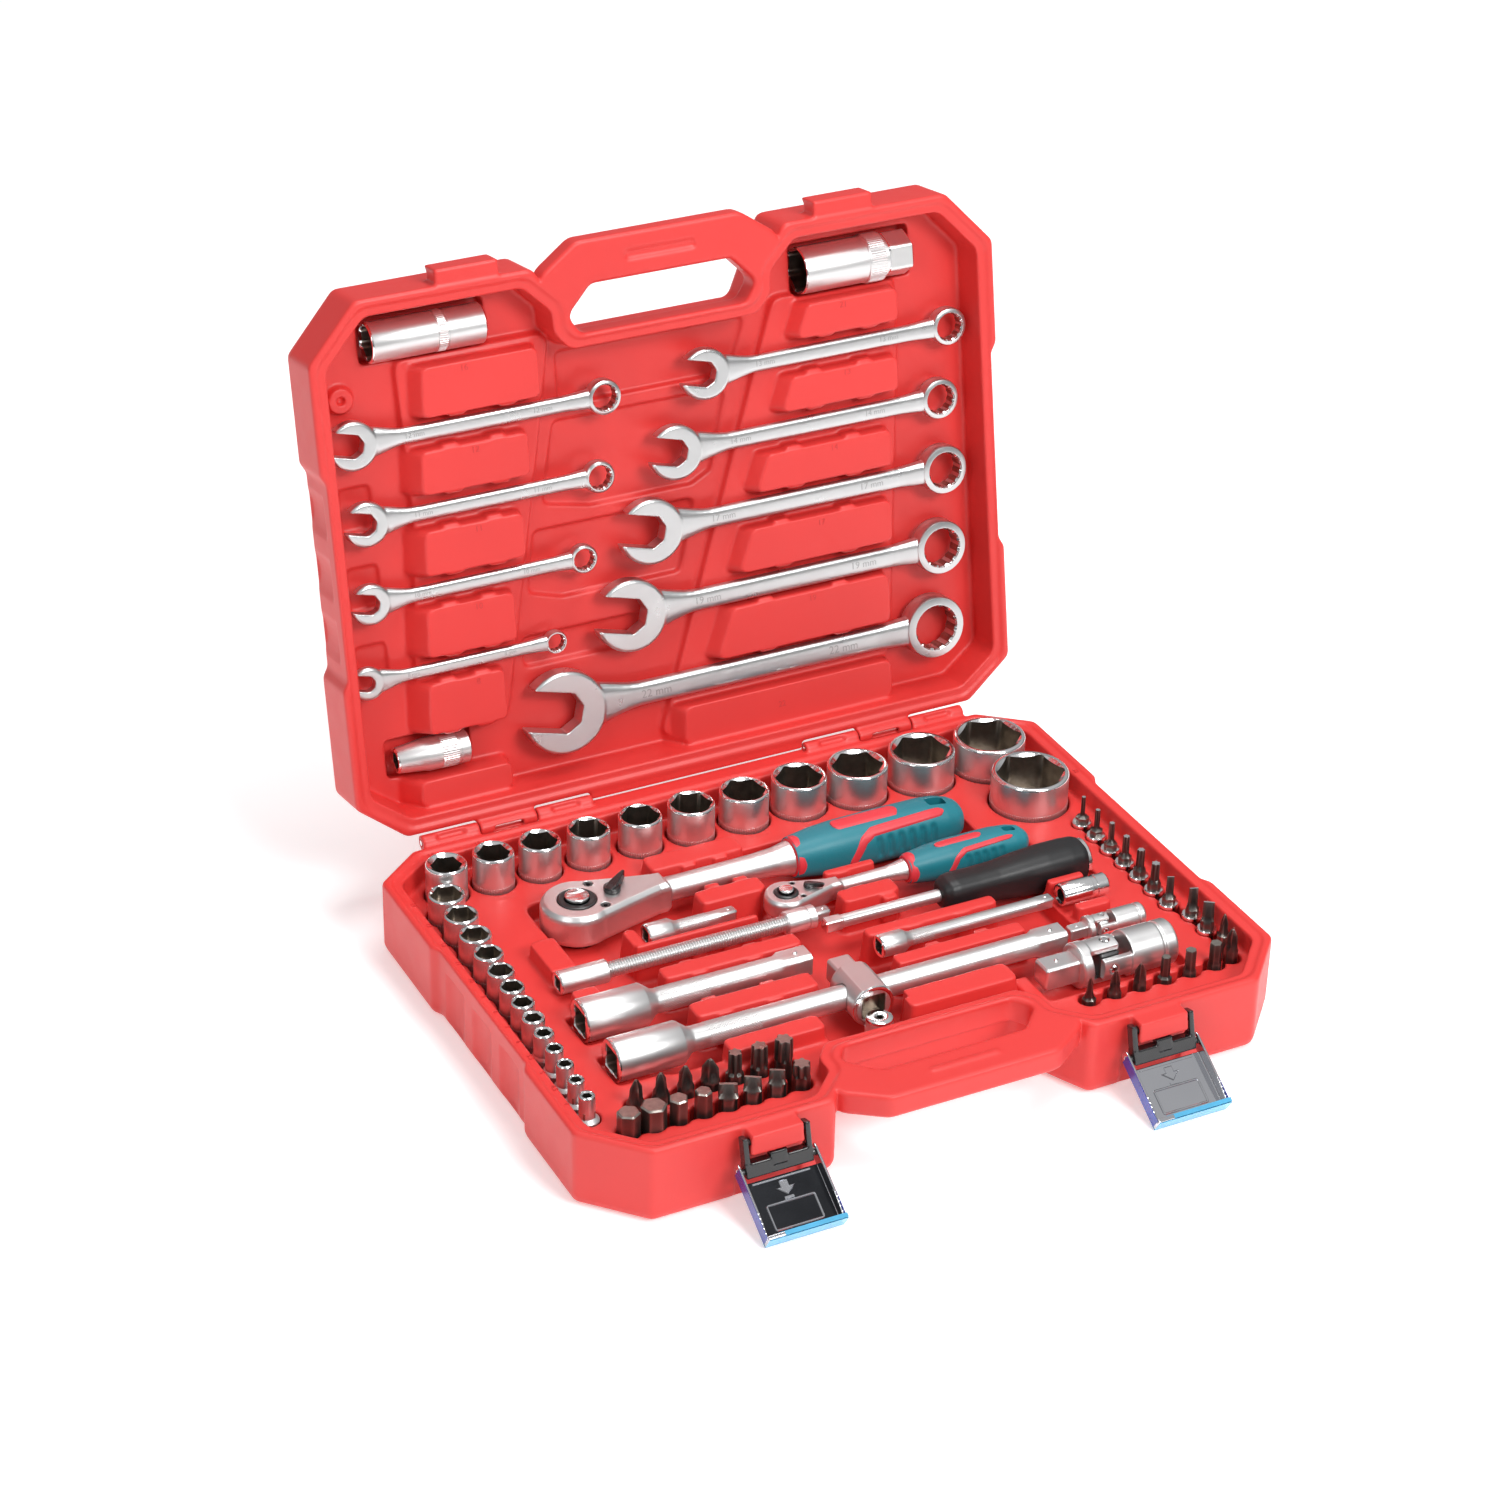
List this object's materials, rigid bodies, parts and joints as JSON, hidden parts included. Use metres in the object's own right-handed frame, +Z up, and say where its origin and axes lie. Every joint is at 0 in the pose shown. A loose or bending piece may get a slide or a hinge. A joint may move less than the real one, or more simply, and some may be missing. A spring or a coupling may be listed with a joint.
{
  "type": "socket wrench set in case",
  "caption": "Red moulded carrying case, standing open, with ratchets, sockets, extension bars and bits in its tray and combination wrenches in its lid",
  "frame": {"origin": "on the flat underside, at the middle of the case body between its side walls and between its front and rear walls", "axes": "X to the right along the front edge, Y from the handle to the hinges, Z up"},
  "size_m": [0.384, 0.4171, 0.3349],
  "materials": {
    "red_plastic": "moulded with a fine satin grain",
    "satin_chrome": "satin chrome plate with polished ends",
    "bright_steel": "bright zinc or nickel plate",
    "black_plastic": "smooth black",
    "black_steel": "black oxide on hardened steel",
    "teal_grip": "teal with a red band, semi-matt",
    "spinner_grip": "black, semi-gloss",
    "bit_steel": "dark phosphated hardened steel"
  },
  "bodies": {
    "base": {"case_base": "red_plastic", "hinge_pin_left": "bright_steel", "hinge_pin_right": "bright_steel"},
    "lid": {"case_lid": "red_plastic"},
    "latch_link_left": {"latch_link_left": "black_plastic"},
    "latch_plate_left": {"latch_plate_left": "bright_steel"},
    "latch_link_right": {"latch_link_right": "black_plastic"},
    "latch_plate_right": {"latch_plate_right": "bright_steel"},
    "ratchet": {"ratchet_body": "satin_chrome", "ratchet_grip": "teal_grip"},
    "ratchet_drive": {"ratchet_drive": "black_steel"},
    "ratchet_lever": {"ratchet_lever": "black_plastic"},
    "ratchet_button": {"ratchet_button": "bright_steel"},
    "small_ratchet": {"small_ratchet_body": "satin_chrome", "small_ratchet_grip": "teal_grip"},
    "small_ratchet_drive": {"small_ratchet_drive": "black_steel"},
    "small_ratchet_lever": {"small_ratchet_lever": "black_plastic"},
    "small_ratchet_button": {"small_ratchet_button": "bright_steel"},
    "extension_250": {"extension_250": "satin_chrome"},
    "sliding_t_head": {"sliding_t_head": "satin_chrome"},
    "universal_joint_cross": {"universal_joint_cross": "bright_steel"},
    "universal_joint_socket": {"universal_joint_socket": "satin_chrome"},
    "universal_joint": {"universal_joint_drive": "satin_chrome"},
    "small_universal_joint_cross": {"small_universal_joint_cross": "bright_steel"},
    "small_universal_joint_socket": {"small_universal_joint_socket": "satin_chrome"},
    "small_universal_joint": {"small_universal_joint_drive": "satin_chrome"},
    "spinner": {"spinner_handle": "spinner_grip"},
    "extension_125": {"extension_125": "satin_chrome"},
    "extension_100": {"extension_100": "satin_chrome"},
    "extension_50": {"extension_50": "satin_chrome"},
    "flexible_extension": {"flexible_extension": "satin_chrome"},
    "drive_adapter": {"drive_adapter": "satin_chrome"},
    "bit_holder": {"bit_holder": "satin_chrome"},
    "wrench_22": {"wrench_22": "satin_chrome"},
    "wrench_19": {"wrench_19": "satin_chrome"},
    "wrench_17": {"wrench_17": "satin_chrome"},
    "wrench_14": {"wrench_14": "satin_chrome"},
    "wrench_13": {"wrench_13": "satin_chrome"},
    "wrench_12": {"wrench_12": "satin_chrome"},
    "wrench_11": {"wrench_11": "satin_chrome"},
    "wrench_10": {"wrench_10": "satin_chrome"},
    "wrench_8": {"wrench_8": "satin_chrome"},
    "spark_plug_socket_21": {"spark_plug_socket_21": "satin_chrome"},
    "spark_plug_socket_16": {"spark_plug_socket_16": "satin_chrome"},
    "bit_coupler": {"bit_coupler": "satin_chrome"},
    "socket_32": {"socket_32": "satin_chrome"},
    "socket_30": {"socket_30": "satin_chrome"},
    "socket_27": {"socket_27": "satin_chrome"},
    "socket_24": {"socket_24": "satin_chrome"},
    "socket_22": {"socket_22": "satin_chrome"},
    "socket_20": {"socket_20": "satin_chrome"},
    "socket_19": {"socket_19": "satin_chrome"},
    "socket_18": {"socket_18": "satin_chrome"},
    "socket_17": {"socket_17": "satin_chrome"},
    "socket_16": {"socket_16": "satin_chrome"},
    "socket_15": {"socket_15": "satin_chrome"},
    "socket_14": {"socket_14": "satin_chrome"},
    "small_sockets": {"small_socket_row": "satin_chrome"},
    "bits_quarter": {"bit_set_quarter_inch": "bit_steel"},
    "bits_large": {"bit_set_large": "bit_steel"}
  },
  "joints": [
    {"name": "lid_hinge", "type": "hinge", "parent": "base", "child": "lid", "pos_m": [0, 0.1462, 0.042], "axis": [-1, 0, 0], "range_deg": [-100.5, 0]},
    {"name": "latch_link_left_hinge", "type": "hinge", "parent": "base", "child": "latch_link_left", "pos_m": [-0.105, -0.147, 0.0365], "axis": [-1, 0, 0], "range_deg": [0, 100]},
    {"name": "latch_plate_left_hinge", "type": "hinge", "parent": "latch_link_left", "child": "latch_plate_left", "pos_m": [-0.105, -0.15062, 0.02298], "axis": [1, 0, 0], "range_deg": [-122, 0]},
    {"name": "latch_link_right_hinge", "type": "hinge", "parent": "base", "child": "latch_link_right", "pos_m": [0.105, -0.147, 0.0365], "axis": [-1, 0, 0], "range_deg": [0, 100]},
    {"name": "latch_plate_right_hinge", "type": "hinge", "parent": "latch_link_right", "child": "latch_plate_right", "pos_m": [0.105, -0.15062, 0.02298], "axis": [1, 0, 0], "range_deg": [-122, 0]},
    {"name": "ratchet_lift", "type": "slide", "parent": "base", "child": "ratchet", "axis": [0, 0, 1], "range_m": [0, 0.045]},
    {"name": "ratchet_drive_turn", "type": "hinge", "parent": "ratchet", "child": "ratchet_drive", "pos_m": [-0.108, 0.066, 0.022], "axis": [0, 0, 1], "continuous": true},
    {"name": "ratchet_lever_turn", "type": "hinge", "parent": "ratchet", "child": "ratchet_lever", "pos_m": [-0.0885, 0.066, 0.041], "axis": [0, 0, 1], "range_deg": [-74, 0]},
    {"name": "ratchet_button_press", "type": "slide", "parent": "ratchet_drive", "child": "ratchet_button", "axis": [0, 0, 1], "range_m": [-0.0012, 0], "stiffness_N_per_m": 500, "springref_m": 0.0006},
    {"name": "small_ratchet_lift", "type": "slide", "parent": "base", "child": "small_ratchet", "axis": [0, 0, 1], "range_m": [0, 0.045]},
    {"name": "small_ratchet_drive_turn", "type": "hinge", "parent": "small_ratchet", "child": "small_ratchet_drive", "pos_m": [-0.008, 0.0295, 0.028], "axis": [0, 0, 1], "continuous": true},
    {"name": "small_ratchet_lever_turn", "type": "hinge", "parent": "small_ratchet", "child": "small_ratchet_lever", "pos_m": [0.005, 0.0295, 0.039], "axis": [0, 0, 1], "range_deg": [0, 80]},
    {"name": "small_ratchet_button_press", "type": "slide", "parent": "small_ratchet_drive", "child": "small_ratchet_button", "axis": [0, 0, 1], "range_m": [-0.0012, 0], "stiffness_N_per_m": 300, "springref_m": 0.0006},
    {"name": "extension_250_lift", "type": "slide", "parent": "base", "child": "extension_250", "axis": [0, 0, 1], "range_m": [0, 0.045]},
    {"name": "t_head_slide", "type": "slide", "parent": "extension_250", "child": "sliding_t_head", "axis": [1, 0, 0], "range_m": [-0.005, 0.005]},
    {"name": "universal_joint_lift", "type": "slide", "parent": "base", "child": "universal_joint", "axis": [0, 0, 1], "range_m": [0, 0.045]},
    {"name": "universal_joint_side_hinge", "type": "hinge", "parent": "universal_joint", "child": "universal_joint_cross", "pos_m": [0.11, -0.085, 0.035], "axis": [0, 0, 1], "range_deg": [-3, 3]},
    {"name": "universal_joint_up_hinge", "type": "hinge", "parent": "universal_joint_cross", "child": "universal_joint_socket", "pos_m": [0.11, -0.085, 0.035], "axis": [0, -1, 0], "range_deg": [0, 30]},
    {"name": "small_universal_joint_lift", "type": "slide", "parent": "base", "child": "small_universal_joint", "axis": [0, 0, 1], "range_m": [0, 0.045]},
    {"name": "small_universal_joint_side_hinge", "type": "hinge", "parent": "small_universal_joint", "child": "small_universal_joint_cross", "pos_m": [0.124, -0.06, 0.036], "axis": [0, 0, 1], "range_deg": [-2.5, 2.5]},
    {"name": "small_universal_joint_up_hinge", "type": "hinge", "parent": "small_universal_joint_cross", "child": "small_universal_joint_socket", "pos_m": [0.124, -0.06, 0.036], "axis": [0, -1, 0], "range_deg": [0, 30]},
    {"name": "spinner_lift", "type": "slide", "parent": "base", "child": "spinner", "axis": [0, 0, 1], "range_m": [0, 0.045]},
    {"name": "extension_125_lift", "type": "slide", "parent": "base", "child": "extension_125", "axis": [0, 0, 1], "range_m": [0, 0.045]},
    {"name": "extension_100_lift", "type": "slide", "parent": "base", "child": "extension_100", "axis": [0, 0, 1], "range_m": [0, 0.045]},
    {"name": "extension_50_lift", "type": "slide", "parent": "base", "child": "extension_50", "axis": [0, 0, 1], "range_m": [0, 0.045]},
    {"name": "flexible_extension_lift", "type": "slide", "parent": "base", "child": "flexible_extension", "axis": [0, 0, 1], "range_m": [0, 0.045]},
    {"name": "drive_adapter_lift", "type": "slide", "parent": "base", "child": "drive_adapter", "axis": [0, 0, 1], "range_m": [0, 0.045]},
    {"name": "bit_holder_lift", "type": "slide", "parent": "base", "child": "bit_holder", "axis": [0, 0, 1], "range_m": [0, 0.045]},
    {"name": "wrench_22_lift", "type": "slide", "parent": "lid", "child": "wrench_22", "axis": [0, -0.9833, 0.1822], "range_m": [0, 0.028]},
    {"name": "wrench_19_lift", "type": "slide", "parent": "lid", "child": "wrench_19", "axis": [0, -0.9833, 0.1822], "range_m": [0, 0.028]},
    {"name": "wrench_17_lift", "type": "slide", "parent": "lid", "child": "wrench_17", "axis": [0, -0.9833, 0.1822], "range_m": [0, 0.028]},
    {"name": "wrench_14_lift", "type": "slide", "parent": "lid", "child": "wrench_14", "axis": [0, -0.9833, 0.1822], "range_m": [0, 0.028]},
    {"name": "wrench_13_lift", "type": "slide", "parent": "lid", "child": "wrench_13", "axis": [0, -0.9833, 0.1822], "range_m": [0, 0.028]},
    {"name": "wrench_12_lift", "type": "slide", "parent": "lid", "child": "wrench_12", "axis": [0, -0.9833, 0.1822], "range_m": [0, 0.028]},
    {"name": "wrench_11_lift", "type": "slide", "parent": "lid", "child": "wrench_11", "axis": [0, -0.9833, 0.1822], "range_m": [0, 0.028]},
    {"name": "wrench_10_lift", "type": "slide", "parent": "lid", "child": "wrench_10", "axis": [0, -0.9833, 0.1822], "range_m": [0, 0.028]},
    {"name": "wrench_8_lift", "type": "slide", "parent": "lid", "child": "wrench_8", "axis": [0, -0.9833, 0.1822], "range_m": [0, 0.028]},
    {"name": "spark_plug_socket_21_lift", "type": "slide", "parent": "lid", "child": "spark_plug_socket_21", "axis": [0, -0.9833, 0.1822], "range_m": [0, 0.036]},
    {"name": "spark_plug_socket_16_lift", "type": "slide", "parent": "lid", "child": "spark_plug_socket_16", "axis": [0, -0.9833, 0.1822], "range_m": [0, 0.034]},
    {"name": "bit_coupler_lift", "type": "slide", "parent": "lid", "child": "bit_coupler", "axis": [0, -0.9833, 0.1822], "range_m": [0, 0.031]},
    {"name": "socket_32_lift", "type": "slide", "parent": "base", "child": "socket_32", "axis": [0, 0, 1], "range_m": [0, 0.045]},
    {"name": "socket_30_lift", "type": "slide", "parent": "base", "child": "socket_30", "axis": [0, 0, 1], "range_m": [0, 0.045]},
    {"name": "socket_27_lift", "type": "slide", "parent": "base", "child": "socket_27", "axis": [0, 0, 1], "range_m": [0, 0.045]},
    {"name": "socket_24_lift", "type": "slide", "parent": "base", "child": "socket_24", "axis": [0, 0, 1], "range_m": [0, 0.045]},
    {"name": "socket_22_lift", "type": "slide", "parent": "base", "child": "socket_22", "axis": [0, 0, 1], "range_m": [0, 0.045]},
    {"name": "socket_20_lift", "type": "slide", "parent": "base", "child": "socket_20", "axis": [0, 0, 1], "range_m": [0, 0.045]},
    {"name": "socket_19_lift", "type": "slide", "parent": "base", "child": "socket_19", "axis": [0, 0, 1], "range_m": [0, 0.045]},
    {"name": "socket_18_lift", "type": "slide", "parent": "base", "child": "socket_18", "axis": [0, 0, 1], "range_m": [0, 0.045]},
    {"name": "socket_17_lift", "type": "slide", "parent": "base", "child": "socket_17", "axis": [0, 0, 1], "range_m": [0, 0.045]},
    {"name": "socket_16_lift", "type": "slide", "parent": "base", "child": "socket_16", "axis": [0, 0, 1], "range_m": [0, 0.045]},
    {"name": "socket_15_lift", "type": "slide", "parent": "base", "child": "socket_15", "axis": [0, 0, 1], "range_m": [0, 0.045]},
    {"name": "socket_14_lift", "type": "slide", "parent": "base", "child": "socket_14", "axis": [0, 0, 1], "range_m": [0, 0.045]},
    {"name": "small_sockets_lift", "type": "slide", "parent": "base", "child": "small_sockets", "axis": [0, 0, 1], "range_m": [0, 0.045]},
    {"name": "bits_quarter_lift", "type": "slide", "parent": "base", "child": "bits_quarter", "axis": [0, 0, 1], "range_m": [0, 0.045]},
    {"name": "bits_large_lift", "type": "slide", "parent": "base", "child": "bits_large", "axis": [0, 0, 1], "range_m": [0, 0.045]}
  ]
}
